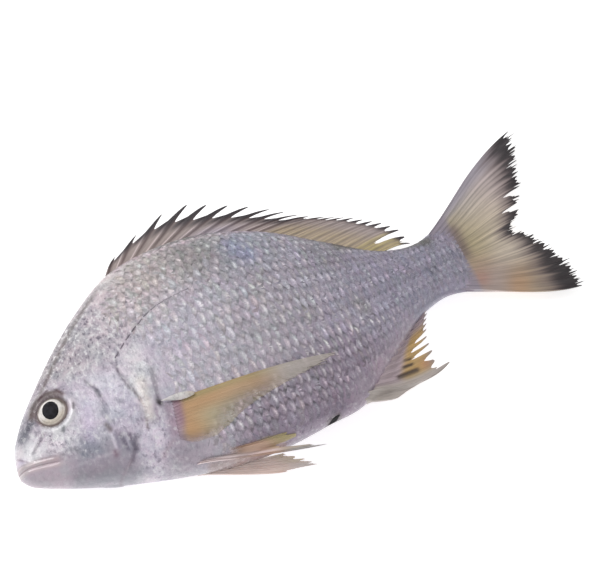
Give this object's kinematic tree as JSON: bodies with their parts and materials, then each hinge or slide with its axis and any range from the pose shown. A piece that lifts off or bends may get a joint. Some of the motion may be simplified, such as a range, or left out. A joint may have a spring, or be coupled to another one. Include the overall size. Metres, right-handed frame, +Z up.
{
  "type": "whole raw fish",
  "caption": "Whole raw silvery sea bream lying on its side: deep scaled body, spiny back fin, long chest fins, paired belly fins, forked tail, bony head with open eyes.",
  "frame": {"origin": "on the table surface, under the middle of the fish's bounding box", "axes": "+X from the snout to the tail, +Y towards the back fin, +Z up out of the left flank"},
  "size_m": [0.3042, 0.1528, 0.0437],
  "materials": {
    "skin": "moist silver-lilac fish skin with fine scales, satin gloss",
    "fin": "thin translucent fin web over bony rays, tan to grey with dark edges",
    "eye": "wet cream-white iris",
    "pupil": "wet black pupil"
  },
  "bodies": {
    "root": {"fish": "skin", "eye_left": "eye", "eye_right": "eye", "pupil_left": "pupil", "pupil_right": "pupil"}
  },
  "joints": []
}
